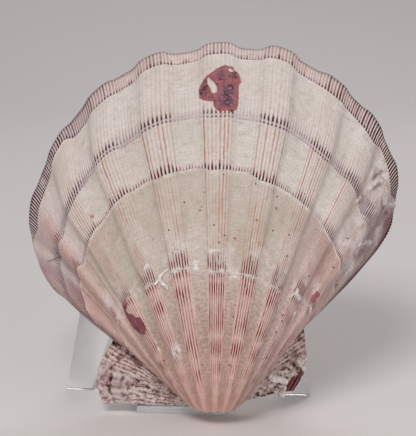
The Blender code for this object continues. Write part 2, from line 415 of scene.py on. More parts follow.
# Marks on the outside, as points (rib, growth)
MAROON_PATCH = (
    (.12, .906), (.20, .906), (.24, .898), (.30, .895), (.34, .879), (.36, .864), (.32, .850),
    (.32, .832), (.32, .814), (.32, .793), (.30, .777), (.22, .763), (.12, .767), (.02, .763),
    (-.06, .773), (-.08, .783), (-.08, .793), (-.14, .793), (-.24, .804), (-.30, .818),
    (-.30, .839), (-.26, .857), (-.20, .868), (-.14, .876), (-.08, .879), (-.02, .895), (.04, .898),
)
MAROON_GAPS = (
    ((-.16, .861), (-.10, .853), (-.06, .839), (-.02, .825), (-.04, .814), (-.10, .818),
     (-.12, .832), (-.16, .846)),
    ((.14, .898), (.20, .898), (.24, .891), (.20, .883), (.16, .887)),
)
LOWER_PATCH = (
    (-3.16, .456), (-3.06, .453), (-3.02, .445), (-3.06, .441), (-3.14, .441), (-3.24, .441),
    (-3.26, .435), (-3.18, .424), (-3.04, .415), (-3.02, .410), (-3.04, .407), (-2.96, .398),
    (-2.82, .391), (-2.78, .386), (-2.82, .380), (-2.80, .370), (-2.76, .361), (-2.76, .351),
    (-2.80, .348), (-2.94, .353), (-3.14, .364), (-3.32, .380), (-3.42, .393), (-3.44, .408),
    (-3.42, .421), (-3.42, .434), (-3.40, .445), (-3.32, .451), (-3.20, .453),
)
SMALL_PATCH = (
    (3.78, .497), (3.86, .499), (3.96, .506), (3.88, .495), (3.82, .489), (3.82, .483),
    (3.92, .483), (3.86, .474), (3.78, .472), (3.76, .470), (3.74, .474), (3.76, .483),
    (3.78, .491),
)
CHALK_RIDGES = (
    ((3.42, .850), (3.40, .872), (3.50, .902), (3.66, .922)),
    ((3.48, .814), (3.56, .839), (3.64, .868), (3.74, .895)),
    ((3.30, .738), (3.38, .770)),
    ((4.16, .719), (4.40, .780), (4.66, .839), (4.88, .895)),
    ((4.10, .885), (4.30, .938), (4.46, .983)),
)
# Lines of painted shadow under the chalk ridges, as points (rib, growth)
RIDGE_SHADOW_LINES = (
    ((3.52, .861), (3.54, .876), (3.58, .895), (3.64, .914)),
    ((3.64, .850), (3.68, .864), (3.72, .876), (3.76, .887)),
    ((3.94, .857), (4.16, .876)),
    ((4.36, .918), (4.46, .938)),
)

# Lumps of chalk and white scars as (rib, growth, half width, half height in millimetres)
CHALK_LUMPS = (
    (-.62, .424, 3.0, 2.2), (0.0, .447, 3.2, .9), (.48, .398, 1.5, .8), (3.36, .400, 1.9, 1.9),
    (2.86, .437, .9, 1.4), (-1.80, .271, 1.7, .7), (-2.60, .306, 1.0, .35), (-2.25, .295, 1.2, .3),
    (-1.88, .462, 1.4, 1.2), (-.96, .460, 1.8, .9), (-.72, .651, 1.4, .5), (.58, .677, 1.4, .6),
    (-3.88, .464, 1.0, 1.0), (-2.08, .278, 1.0, .5),
)


def chart(rib, growth, middle):
    """Flat places in millimetres around a mark's middle."""
    reach = fan_outline(np.array([middle[0]]))[1][0] * 1000.0
    return np.stack([27.5 * middle[1] * rib, 1.3 * reach * growth], axis=-1)


def to_segments(place, points, closed):
    """Distance from each place to a line of points, in millimetres."""
    ends = np.roll(points, -1, axis=0) if closed else points[1:]
    starts = points if closed else points[:-1]
    nearest = np.full(place.shape[:-1], 99.0)
    for start, end in zip(starts, ends):
        line = end - start
        share = np.clip(((place - start) @ line) / max(line @ line, 1e-9), 0.0, 1.0)
        apart = np.linalg.norm(place - start - share[..., None] * line, axis=-1)
        nearest = np.minimum(nearest, apart)
    return nearest


def depth_inside(outline):
    """Millimetres inside a closed outline of (rib, growth) points, negative outside, at most 5."""
    points = np.array(outline)
    middle = points.mean(axis=0)
    near = (np.abs(RIB - middle[0]) < 1.5) & (np.abs(GROWTH - middle[1]) < 0.14)
    place = chart(RIB[near], GROWTH[near], middle)
    corners = chart(points[:, 0], points[:, 1], middle)
    inside = np.zeros(len(place), dtype=bool)
    for start, end in zip(corners, np.roll(corners, -1, axis=0)):
        crosses = (start[1] > place[:, 1]) != (end[1] > place[:, 1])
        climb = end[1] - start[1] if end[1] != start[1] else 1e-9
        at = start[0] + (place[:, 1] - start[1]) * (end[0] - start[0]) / climb
        inside ^= crosses & (place[:, 0] < at)
    depth = np.full(GROWTH.shape, -5.0)
    away = to_segments(place, corners, True)
    depth[near] = np.clip(np.where(inside, away, -away), -5.0, 5.0)
    return depth


def maroon_depth():
    """Millimetres inside any maroon patch, leaving out the bare gaps."""
    patch = depth_inside(MAROON_PATCH)
    for gap in MAROON_GAPS:
        patch = np.minimum(patch, -depth_inside(gap) - 0.45)
    return np.maximum(patch, np.maximum(depth_inside(LOWER_PATCH), depth_inside(SMALL_PATCH) + 0.3))


def along_lines(lines, width):
    """1 on crooked lines of (rib, growth) points, falling off over this width in millimetres."""
    field = np.zeros(GROWTH.shape)
    for line in lines:
        points = np.array(line)
        middle = points.mean(axis=0)
        near = (np.abs(RIB - middle[0]) < 1.2) & (np.abs(GROWTH - middle[1]) < 0.2)
        corners = chart(points[:, 0], points[:, 1], middle)
        apart = to_segments(chart(RIB[near], GROWTH[near], middle), corners, False)
        field[near] = np.maximum(field[near], np.exp(-(apart / width) ** 2))
    return field


def chalk_lumps():
    """1 on the lumps of chalk, ragged at their edges."""
    field = np.zeros(GROWTH.shape)
    ragged = patchy(9.0, 70.0, 43)
    for rib, growth, *half_size in CHALK_LUMPS:
        away = chart(RIB - rib, GROWTH - growth, (rib, growth)) / np.array(half_size)
        apart = np.linalg.norm(away, axis=-1) + 1.6 * (ragged - 0.5)
        field = np.maximum(field, fall(0.6, 1.1, apart))
    return field


LUMPS = chalk_lumps()
RIDGE = along_lines(CHALK_RIDGES, 0.8)
# Painted shadow along those lines: brown in the colour, less chalk, and a shallow groove in the
# relief
RIDGE_SHADE = along_lines(RIDGE_SHADOW_LINES, 0.7) * (1.0 - 0.6 * RIDGE)
WRINKLED = LOWER * (1.0 - CREST) * rise(0.08, 0.2, GROWTH)


def fan_relief():
    """Height of the outside over the smooth fan, in metres."""
    rim_step = rim_drop(RIB, rise(-0.35, 0.35, PAST_RIM))
    steps = SECOND_STEP_DROP * after(PAST_SECOND, 4.5)
    steps = steps - SECOND_STEP_NOTCH * np.exp(-np.abs(PAST_SECOND) / 1.2)
    steps = steps + THIRD_STEP_DROP * after(PAST_THIRD, 3.0)
    steps = steps + OUTER_ROW_DROP * after(PAST_THIRD - 1.8, 4.0)
    steps = steps * (1.0 - 0.5 * WORN)

    band = rise(-0.3, 0.5, PAST_RIM)
    riblets = RIBLET_HEIGHT * band * np.cos(2.0 * np.pi * RIBLET)
    edges = bump(FROM_CREST, 0.285, 0.022) * rise(0.06, 0.2, GROWTH)
    crust = bump(PAST_CHALKY, 0.3, 1.1) * (patchy(7.0, 60.0, 3) - 0.30) * (0.5 + 0.7 * CREST)
    swell = SWELL_HEIGHT * (patchy(1.7, 14.0, 5) - 0.5)
    pocked = POCK_DEPTH * (patchy(12.0, 90.0, 19, layers=3) - 0.5) * (1.0 - band)
    worn = WORN_DEPTH * WORN * (patchy(9.0, 80.0, 17) - 0.5)
    ridges = RIDGE_HEIGHT * RIDGE - SHADE_DEPTH * RIDGE_SHADE + LUMP_HEIGHT * LUMPS
    fine = riblets + STRIP_EDGE_HEIGHT * LOWER * edges + CHALK_CRUST_HEIGHT * crust
    fine = fine + swell + pocked + worn + ridges
    return rib_relief(RIB, GROWTH) - rim_step - steps + fine


def riblet_lift():
    """How strongly the riblets stand out before the rim band, 0 to 1."""
    lift = 0.06 + 0.14 * CREST + 0.8 * after(PAST_SECOND, 1.6) + 0.7 * after(PAST_THIRD, 3.0)
    lift = lift + 0.45 * FLANKS * rise(0.0, 1.0, PAST_SECOND)
    lift = lift * (1.0 - LOWER) + 0.85 * STRIPS
    return np.clip(lift * (1.0 - 0.6 * WORN) * fall(-0.3, 0.0, PAST_RIM), 0.0, 1.0)


def dome(share):
    """A rounded top across a share from 0 to 1."""
    return (1.0 - np.abs(2.0 * share - 1.0) ** 2.6) ** 0.7


def ear_relief(down, seed):
    """The upper ribs and the knobs below them: relief, level from gap to top, and bulge."""
    knobby = rise(0.26, 0.42, down)
    across = np.where(down < 0.35, 15.7 * down, 5.5 + 7.7 * (down - 0.35))
    across = across + 0.7 * (noise(down * 5.0, GROWTH * 9.0, seed) - 0.5)
    row = np.floor(across)
    along = (1.0 - GROWTH) * (9.6 + 6.0 * (1.0 - knobby)) + 0.18 * (chance(row, 5.0, seed) - 0.5)
    along = along + 0.45 * (layered_noise(across * 1.3, GROWTH * 14.0, seed + 3, 2) - 0.5)
    knob = np.floor(along)
    crown, round_top = dome(across - row), dome(along - knob)
    first_gap = bump(along, 1.0, 0.4)
    knobs = 1.0 - 0.64 * (1.0 - crown) - (0.36 + 0.55 * first_gap) * (1.0 - round_top)
    ridges = crown ** 2.4 * (0.75 + 0.25 * round_top)
    height = ridges + (knobs - ridges) * knobby
    height = height * (0.85 + 0.3 * chance(row, knob, seed + 7))
    grain = layered_noise(across * 4.0, along * 4.0, seed + 21) - 0.5
    height = height + (0.6 + 0.5 * knobby) * grain
    tall = (EAR_RIB_HEIGHT + KNOB_HEIGHT * knobby) * rise(0.08, 0.45, GROWTH)
    return tall * (height - 0.45), np.clip(height, 0.0, 1.3), crown * knobby


def ear_shell(ear, share, seed):
    """Places of an ear's outside, and how high each place lies in its scales, with painted shade
    laid in along the notch.
    """
    down = 1.0 - share if ear is LEFT_EAR else share
    base = ear_place(ear, share, GROWTH)
    right, up = ear_place(ear, share + 0.01, GROWTH), ear_place(ear, share, GROWTH * 1.01)
    normal = unit(np.cross(right - base, up - base))
    relief, level, knobs = ear_relief(down, seed)
    if ear is RIGHT_EAR:
        clumps = rise(0.78, 0.9, down) * bump(GROWTH, 0.66, 0.14)
        clumps = clumps * rise(0.35, 0.55, layered_noise(down * 30.0, GROWTH * 40.0, 207))
        smooth_corner = 0.8 * EAR_CORNER
        level = level * (1.0 - clumps)
        level = level + (0.9 - level) * smooth_corner
        relief = relief * (1.0 - smooth_corner)
    relief = relief * rise(0.0, 0.05, down)
    relief = relief - EAR_NOTCH_DEPTH * bump(down, 0.05, 0.035) * GROWTH
    # Painted shade under the fan's edge: in patches along the notch the level drops, so these
    # places take the gaps' dark colour
    crust = layered_noise(down * 9.0, GROWTH * 16.0, seed + 31) + 0.5 * bump(GROWTH, 1.0, 0.1)
    crust = 0.1 + 0.8 * rise(0.42, 0.56, crust)
    level = level * (1.0 - fall(0.02, 0.12, down) * crust)
    bulge = KNOB_BULGE * knobs * rise(0.93, 1.0, GROWTH) * rise(0.0, 0.1, down)
    return base + normal * relief[..., None] + unit(base) * bulge[..., None], level


def outer_shell():
    """Places of the outside, and how high each place of the ears lies in its scales."""
    place = fan_surface(RIB, GROWTH) + fan_normal(RIB, GROWTH) * fan_relief()[..., None]
    level = np.ones_like(GROWTH)
    for ear, inside, share, seed in EARS:
        ear_points, ear_level = ear_shell(ear, share, seed)
        place = np.where(inside[..., None], ear_points, place)
        level = np.where(inside, ear_level, level)
    return place, level


def inner_fan(rib, growth):
    """The hollow under the fan, which closes to a flat plate near the beak."""
    held = np.maximum(growth, CAVITY_FROM)
    wall = WALL_AT_EDGE + (WALL_AT_BEAK - WALL_AT_EDGE) * (1.0 - held) ** 2
    relief = rib_relief(rib, held) - rim_drop(rib, rise(0.944, 0.952, held))
    inside = fan_surface(rib, held) + fan_normal(rib, held) * (0.85 * relief - wall)[..., None]
    angle, reach = fan_outline(rib)
    reach, angle = 0.9 * growth * reach, np.radians(angle)
    plate = np.stack([reach * np.sin(angle), reach * np.cos(angle), 0.0 * reach], axis=-1)
    return plate + (inside - plate) * rise(FIRST_GROWTH, CAVITY_FROM, growth)[..., None]


def inner_shell():
    """Places of the inside, on some of the rows and columns."""
    growth = GROWTH[INNER]
    place = inner_fan(RIB[INNER], growth)
    for ear, inside, share, _ in EARS:
        x, height = ear_outline(ear, share[INNER])
        flat = np.stack([growth * x, growth * height, 0.0 * growth], axis=-1)
        place = np.where(inside[INNER][..., None], flat, place)
    return place


def rim_rows(outside, inside):
    """The rounded middle of the rim, and its inner edge."""
    inner_edge = np.stack([
        np.interp(column, column[::INSIDE_STEP], inside[-1][:, axis]) for axis in range(3)
    ], axis=-1)
    wave = RIM_WAVE * np.cos(2.0 * np.pi * RIBLET[-1])[:, None]
    outward = np.where(IN_EAR[-1][:, None], 0.0, fan_normal(RIB[-1], GROWTH[-1]))
    inner_edge = inner_edge + outward * wave * 0.6
    middle = (outside[-1] + inner_edge) / 2.0
    return np.stack([middle + unit(middle) * RIM_ROUNDING, inner_edge])


def zip_strip(first, second):
    """Triangles between two rows of points that need not have the same number."""
    triangles = []
    i = j = 0
    while i < len(first) - 1 or j < len(second) - 1:
        next_first = (i + 1) / (len(first) - 1)
        next_second = (j + 1) / (len(second) - 1)
        if j == len(second) - 1 or (i < len(first) - 1 and next_first <= next_second):
            triangles.append((first[i], first[i + 1], second[j]))
            i += 1
        else:
            triangles.append((first[i], second[j + 1], second[j]))
            j += 1
    return triangles


def quads(grid):
    return np.stack(
        [grid[:-1, :-1], grid[:-1, 1:], grid[1:, 1:], grid[1:, :-1]], axis=-1
    ).reshape(-1, 4)


def painted(base, *layers):
    """A base colour with layers of (share, colour) laid over it in turn."""
    colour = np.broadcast_to(linear(*base), (*GROWTH.shape, 3)).copy()
    for share, other in layers:
        colour += (linear(*other) - colour) * np.clip(share, 0.0, 1.0)[..., None]
    return colour


def shell_colours():
    """Base colour of the outside by where it lies, before the fine lines."""
    outside = rise(-0.2, 0.4, PAST_SECOND)
    within = 1.0 - outside
    strip_breaks = bump(GROWTH, 0.285, 0.004) + bump(GROWTH, 0.246, 0.006)
    strip_breaks = strip_breaks + 0.7 * bump(GROWTH, 0.330, 0.004)
    around_third = 0.35 + 0.5 * np.minimum(np.abs(RIB) / 4.0, 1.0)
    rim = rise(-0.1, 0.3, PAST_RIM)
    blotches = FLANKS * rise(0.52, 0.66, patchy(2.2, 17.0, 29, 4.0))
    pink_streak = bump(RIB, -3.85, 0.16) * rise(0.66, 0.70, GROWTH) * fall(0.84, 0.90, GROWTH)
    return painted(
        (220, 212, 206),
        (fall(-0.3, 0.3, PAST_THIRD), (214, 207, 200)),
        (fall(-0.2, 0.2, PAST_SECOND), (199, 188, 178)),
        (fall(0.30, 0.47, GROWTH), (180, 156, 147)),
        (STRIPS * 0.85, (208, 172, 164)),
        (fall(0.14, 0.34, GROWTH) * (0.40 + 0.42 * CREST), (236, 184, 178)),
        # Brighter and pinker near the beak: partly its own pink, partly painted light that lifts
        # the beak out of its shade
        (fall(0.07, 0.16, GROWTH) * 0.9, (255, 202, 196)),
        (LOWER * bump(FROM_CREST, 0.285, 0.02) * 0.8, (226, 194, 184)),
        (STRIPS * strip_breaks * 0.55, (228, 200, 192)),
        (LEFT_FLANK * outside * 0.95, (188, 163, 167)),
        (rise(4.7, 5.7, -RIB) * outside * 0.9, (214, 172, 174)),
        (RIGHT_FLANK * outside * 0.8, (187, 167, 170)),
        (rise(3.0, 4.6, -RIB) * within * 0.75, (216, 176, 172)),
        (rise(1.6, 2.8, RIB) * within * 0.60, (182, 158, 155)),
        (rise(2.6, 4.4, RIB) * within * 0.7, (208, 176, 172)),
        (bump(PAST_THIRD, 0.9, 1.6) * around_third, (190, 172, 178)),
        (rim * (0.55 + 0.30 * RIM_SIDE), (230, 205, 202)),
        (rim * rise(1.6, 2.6, -RIB) * 0.8, (212, 196, 198)),
        (blotches * outside * 0.8, (210, 194, 190)),
        (PALE_STREAK * outside * 0.8, (224, 212, 210)),
        (pink_streak * 0.6, (212, 168, 160)),
        (RIGHT_TAIL * 0.8, (150, 108, 104)),
        # Painted shadow under the chalk ridges
        (RIDGE_SHADE, (132, 98, 78)),
    )


def ear_colours():
    """Base colour of the ears' raised parts."""
    right_band = IN_RIGHT_EAR * rise(0.45, 0.6, DOWN) * bump(GROWTH, 0.40, 0.14)
    return painted(
        (216, 192, 184),
        (KNOBBY, (202, 180, 176)),
        (IN_LEFT_EAR * KNOBBY * rise(0.55, 0.85, GROWTH) * 0.6, (200, 184, 184)),
        (fall(0.15, 0.45, GROWTH), (206, 170, 160)),
        (right_band, (214, 194, 178)),
        (EAR_CORNER, (156, 98, 96)),
    )


def ink_colours():
    """Colour of the dark furrows by where they lie."""
    rim = rise(-0.3, 0.1, PAST_RIM)
    return painted(
        (112, 56, 74),
        (bump(PAST_CHALKY, 0.5, 4.0), (112, 16, 24)),
        (bump(PAST_SECOND, 0.5, 4.0), (142, 40, 48)),
        (bump(PAST_SECOND, 0.5, 2.4) * CREST, (80, 4, 12)),
        (bump(PAST_THIRD, 1.5, 5.0), (128, 100, 110)),
        (bump(PAST_THIRD, 1.5, 2.6) * CREST, (72, 22, 34)),
        (rim, (110, 52, 54)),
        (bump(PAST_RIM, 0.4, 1.4), (76, 18, 20)),
        (rim * RIM_SIDE * rise(-6.0, 3.0, RIB), (44, 14, 14)),
        (rim * rise(1.6, 2.6, -RIB) * 0.9, (72, 46, 52)),
    )


def furrow_darkness():
    """How dark the furrows are: ticks just past each pause, and all along the rim band."""
    long = 0.65 + 0.8 * furrow_chance(8)
    second = dash(PAST_SECOND, (1.0 + 1.3 * CREST + 1.4 * LEFT_FLANK) * long)
    second = second * (0.95 + 0.55 * CREST)
    second = second * (1.0 - 0.55 * rise(1.5, 2.3, RIB) * fall(2.7, 3.2, RIB))

    inner_row = dash(PAST_THIRD, 0.75) * (0.55 + 0.9 * CREST)
    outer_row = after(PAST_THIRD - OUTER_ROW, 2.0 + 2.2 * (1.0 - CREST) * long)
    outer_row = outer_row * (0.28 + 0.42 * rise(0.7, 1.6, np.abs(RIB)))
    outer_row = outer_row + dash(PAST_THIRD - OUTER_ROW, 1.9 * long) * (0.12 + 1.1 * CREST)
    third = (inner_row + outer_row) * (1.0 - 0.7 * WORN)
    third = third * (1.0 - 0.35 * bump(RIB, 0.0, 0.6) - 0.5 * bump(RIB, 3.0, 0.5))
    third = third + dash(PAST_THIRD, 4.5) * rise(2.3, 2.8, np.abs(RIB)) * 0.75

    side = rise(1.2, 3.6, np.abs(RIB + 0.2))
    side = side * np.where(RIB < 0.0, 1.05, 0.62 + 0.38 * rise(0.0, 2.5, RIB))
    strong = np.where(furrow_chance(21) > 0.5, 1.0, 0.68)
    band = rise(-0.1, 0.2, PAST_RIM) * (0.20 + 0.28 * CREST + 0.95 * side) * strong
    band = band + rise(0.0, 0.5, PAST_RIM) * rise(4.2, 4.7, RIB) * 0.8
    rim = dash(PAST_RIM, 1.5 * long) * (1.15 + 0.35 * side) + band + 1.2 * RIGHT_TAIL

    far = after(PAST_SECOND, 6.0) * 0.6 + after(PAST_THIRD, 8.0) * 0.55
    far = far + 0.2 * rise(0.0, 1.0, PAST_SECOND)
    patches = rise(0.40, 0.60, patchy(1.6, 12.0, 83, 20.0, 3))
    flanks = LEFT_FLANK + 0.8 * RIGHT_FLANK
    flanks = flanks * (far + 0.7 * patches * rise(0.0, 2.0, PAST_SECOND))
    flanks = flanks * (1.0 - 0.8 * PALE_STREAK) * (1.0 - 0.7 * WORN)
    flanks = flanks + TICK_PATCH * 1.25 * rise(0.3, 0.5, patches + 0.25)

    above_chalk = dash(PAST_CHALKY - 0.5, 3.9 * long) * CREST * 1.4
    below_chalk = dash(-PAST_CHALKY - 0.4, 1.5 * long) * CREST * 1.2
    total = second + third + rim + flanks + above_chalk + below_chalk
    return np.clip(total * (0.65 + 0.5 * furrow_chance(5)), 0.0, 1.6)


# Bands of the red lines on the lower crests, as growth, half width and strength
RED_BANDS = (
    (0.376, 0.013, 1.25), (0.345, 0.010, 0.45), (0.309, 0.013, 1.1), (0.264, 0.012, 2.0),
    (0.217, 0.009, 0.9), (0.19, 0.007, 0.4),
)


def line_redness():
    """Strength of the brick-red lines, which run along the crests and break off in bands."""
    chosen = np.where(furrow_chance(9) > 0.42, 1.0, 0.35) * (0.55 + 0.5 * furrow_chance(14))
    broken = rise(0.38, 0.58, noise(FURROW * 0.45, GROWTH * 26.0, 31))
    between = rise(0.0, 1.0, PAST_SECOND) * fall(-1.0, 0.5, PAST_THIRD)
    beyond = rise(-0.5, 0.5, PAST_THIRD) * np.exp(-np.maximum(PAST_THIRD, 0.0) / 10.0)
    under = rise(0.0, 2.0, PAST_CHALKY) * fall(-0.5, 0.0, PAST_SECOND)
    upper = 0.95 * between + 0.8 * beyond + under * (0.15 + 0.75 * broken)
    upper = chosen * CREST * upper + bump(OFF_CREST, -0.235, 0.03) * 0.5 * between
    side_lines = rise(0.50, 0.62, noise(FURROW * 0.35, GROWTH * 30.0, 39))
    upper = upper + 0.9 * bump(RIB, 3.4, 0.9) * under * side_lines
    near_chalk = CREST * bump(RIB, 1.2, 0.8) * bump(PAST_CHALKY, 9.0, 2.4)
    upper = upper + near_chalk * (0.4 + 0.8 * chosen)

    banded = 0.20 * rise(0.17, 0.24, GROWTH)
    for centre, width, amount in RED_BANDS:
        shift = 0.008 * (noise(RIB * 4.0, 2.0, 37) - 0.5)
        shift = shift + 0.006 * (noise(CREST_NUMBER, centre * 90.0, 38) - 0.5)
        banded = banded + amount * np.exp(-np.abs((GROWTH - centre + shift) / width) ** 4)
    dashed = noise(LOWER_LINE * 0.6 + 7.0 * CREST_NUMBER, GROWTH * 38.0, 33)
    lower = STRIPS * banded * (0.56 + 0.56 * rise(0.36, 0.60, dashed))
    lower = lower * (0.8 + 0.4 * chance(LOWER_LINE, CREST_NUMBER, 6))
    lower = lower * (1.0 + 0.35 * bump(RIB, 0.0, 0.4))
    flank_lines = FLANKS * rise(0.0, 2.0, PAST_SECOND) * 0.30
    return np.clip(upper + lower + flank_lines, 0.0, 1.6)


def chalkiness():
    """White lime on the chalky line, the pauses, the worn side, the ridges and the lumps."""
    line = bump(PAST_CHALKY, 0.2, 0.9) * rise(0.36, 0.60, patchy(5.0, 46.0, 61))
    edges = bump(PAST_SECOND, -0.25, 0.4) * 0.8 + bump(PAST_RIM, -0.25, 0.4) * 0.6
    edges = edges + bump(PAST_THIRD, -0.25, 0.35) * 0.45
    flakes = rise(-0.5, 1.0, PAST_CHALKY) * fall(6.0, 16.0, PAST_CHALKY) * 0.40
    flakes = flakes * rise(0.50, 0.64, patchy(3.0, 40.0, 67, 7.0))
    chalk = line * (0.55 + 0.45 * CREST) + edges + flakes + 0.85 * WORN + RIDGE + 1.4 * LUMPS
    return np.clip(chalk, 0.0, 1.0) * (1.0 - 0.8 * RIDGE_SHADE)


def dirtiness():
    """Brown in the hollows near the beak, in cracks and in stains past the chalky line."""
    dirt = fall(0.26, 0.42, np.abs(FROM_CREST - 0.5)) * fall(0.12, 0.34, GROWTH)
    dirt = dirt * rise(0.08, 0.16, GROWTH) * 0.55
    cracks = bump(RIB, -3.5, 0.024) + 1.6 * bump(RIB, -4.45, 0.028)
    cracks = (cracks + bump(RIB, -2.72, 0.016) * 0.6) * fall(-1.0, 0.0, PAST_SECOND)
    stained = rise(0.50, 0.68, patchy(2.5, 22.0, 71, 3.0))
    stained = stained * rise(0.0, 3.0, PAST_CHALKY) * fall(-2.0, 0.0, PAST_SECOND)
    return np.maximum(np.clip(dirt + cracks * 0.9, 0.0, 1.0), stained * 0.30)


def pitting():
    """Share of the small brown pits that show."""
    pits = fall(-1.0, 0.0, PAST_SECOND) * rise(-2.0, 0.5, RIB) * 0.8 + 0.2
    return pits * fall(-1.0, 0.0, PAST_RIM)


class Flow:
    """A node's output, which can be added, subtracted and multiplied like a number."""

    def __init__(self, nodes, socket):
        self.nodes = nodes
        self.socket = socket

    def __add__(self, other):
        return self.nodes.math("ADD", self, other)

    def __sub__(self, other):
        return self.nodes.math("SUBTRACT", self, other)

    def __rsub__(self, other):
        return self.nodes.math("SUBTRACT", other, self)

    def __mul__(self, other):
        return self.nodes.math("MULTIPLY", self, other)

    def held(self):
        """Holds the result between 0 and 1."""
        self.socket.node.use_clamp = True
        return self


class Nodes:
    """A material's node tree, with short ways to add and join nodes."""

    def __init__(self, name):
        self.material = bpy.data.materials.new(name)
        self.material.use_nodes = True
        self.tree = self.material.node_tree
        self.shader = self.tree.nodes["Principled BSDF"]

    def put(self, socket, value):
        if isinstance(value, Flow):
            self.tree.links.new(value.socket, socket)
        elif isinstance(value, (tuple, list, np.ndarray)) and len(value) == 3:
            plain = [float(part) for part in value]
            socket.default_value = (*plain, 1.0) if len(socket.default_value) == 4 else plain
        else:
            socket.default_value = value

    def add(self, kind, inputs, output=0, **settings):
        node = self.tree.nodes.new(kind)
        for key, value in settings.items():
            setattr(node, key, value)
        for key, value in inputs.items():
            self.put(node.inputs[key], value)
        return Flow(self, node.outputs[output])

    def math(self, operation, first, second=0.0):
        return self.add("ShaderNodeMath", {0: first, 1: second}, operation=operation)

    def mix(self, share, first, second, blend="MIX"):
        """Mixes two colours, which are sockets 6 and 7 of the node and 2 of its outputs."""
        return self.add(
            "ShaderNodeMix", {0: share, 6: first, 7: second}, 2,
            data_type="RGBA", blend_type=blend, clamp_factor=True,
        )

    def shaded(self, tone, share, factor):
        """The tone, multiplied by a factor for each of its colours on this share."""
        return self.mix(share, tone, self.mix(1.0, tone, factor, "MULTIPLY"))

    def between(self, value, low, high, first=0.0, last=1.0):
        return self.add(
            "ShaderNodeMapRange", {0: value, 1: low, 2: high, 3: first, 4: last},
            interpolation_type="SMOOTHSTEP", clamp=True,
        )

    def attribute(self, name, output):
        return self.add("ShaderNodeAttribute", {}, output, attribute_name=name)

    def field(self, name):
        """The three values that are stored under this name on the mesh."""
        return self.parts(self.attribute(name, "Vector"))

    def parts(self, vector):
        first = self.add("ShaderNodeSeparateXYZ", {0: vector})
        return [Flow(self, socket) for socket in first.socket.node.outputs]

    def noise(self, place, scale, detail=4.0, roughness=0.6):
        inputs = {"Vector": place, "Scale": scale, "Detail": detail, "Roughness": roughness}
        return self.add("ShaderNodeTexNoise", inputs)

    def noise_over(self, x, y, z, detail=4.0, roughness=0.6):
        """Noise with one lump to each unit of these three values."""
        place = self.add("ShaderNodeCombineXYZ", {0: x, 1: y, 2: z})
        return self.noise(place, 1.0, detail, roughness)

    def object_place(self):
        return self.add("ShaderNodeTexCoord", {}, "Object")

    def raised(self, height, distance, strength):
        inputs = {"Height": height, "Distance": distance, "Strength": strength}
        return self.add("ShaderNodeBump", inputs)

    def finish(self, **sockets):
        for name, value in sockets.items():
            self.put(self.shader.inputs[name.replace("_", " ")], value)
        return self.material


# Small marks at (rib, growth), with their colour and their size in millimetres
SPOTS = (
    ((
        (1.92, .624), (-.68, .558), (-1.08, .508), (-.08, .499), (1.44, .512), (1.86, .521),
        (.46, .474), (.18, .478), (3.80, .580), (3.70, .668), (2.74, .372), (2.82, .361),
        (2.76, .332), (-2.74, .271), (.76, .228), (1.36, .585), (1.40, .561), (4.76, .649),
    ), (104, 78, 66), 0.34),
    (((-.38, .535), (3.06, .487), (.96, .515), (.04, .464)), (158, 118, 72), 0.45),
    (((-2.74, .677),), (188, 122, 98), 0.72),
)


def on_fan(points, lift=0.0):
    """World places over the fan, from (rib, growth)."""
    rib, growth = np.array(points).T
    relief = rib_relief(rib, growth) + lift
    return to_world(fan_surface(rib, growth) + fan_normal(rib, growth) * relief[:, None])


def stained(n, tone, place, mottled, maroon, lower):
    """Lays the maroon patches over the tone, darker and purple in their middle."""
    stain = n.between(maroon + (mottled - 0.5) * 1.6, -0.42, -0.10)
    clouded = n.between(n.noise(place, 95.0), 0.40, 0.58)
    deep = (n.between(maroon, 0.8, 2.6) * clouded).held()
    tint = n.mix(lower, linear(156, 92, 96), linear(134, 74, 80))
    tint = n.mix(deep, tint, linear(110, 76, 92))
    tint = n.mix(n.between(mottled, 0.50, 0.36), tint, linear(80, 44, 54))
    flecks = n.between(n.noise(place, 800.0, 3.0, 0.7), 0.55, 0.66)
    flecks = flecks * n.between(deep, 0.0, 1.0, 0.5, 0.9)
    tint = n.mix(flecks, tint, linear(190, 150, 154))
    return n.mix(stain, tone, tint)


def spotted(n, tone, place, pitted):
    """Lays small pits over the tone, then the single spots, and tells where they are."""
    apart = n.add("ShaderNodeTexVoronoi", {"Vector": place, "Scale": 250.0})
    pit_chance = n.parts(Flow(n, apart.socket.node.outputs["Color"]))
    pit = n.between(apart, 0.055, 0.10, 1.0, 0.0)
    pit = pit * (n.between(pit_chance[0], 0.70, 0.72) * pitted)
    ochre = n.between(pit_chance[1], 0.45, 0.55)
    tone = n.mix(pit, tone, n.mix(ochre, linear(150, 108, 62), linear(92, 62, 52)))
    for spots, colour, size in SPOTS:
        nearest = 1.0
        for spot in on_fan(spots):
            inputs = {0: place, 1: spot}
            apart = n.add("ShaderNodeVectorMath", inputs, "Value", operation="DISTANCE")
            nearest = n.math("MINIMUM", nearest, apart)
        mark = n.between(nearest, size * 0.0008, size * 0.0012, 1.0, 0.0)
        tone = n.mix(mark, tone, linear(*colour))
        pit = n.math("MAXIMUM", pit, mark)
    return tone, pit


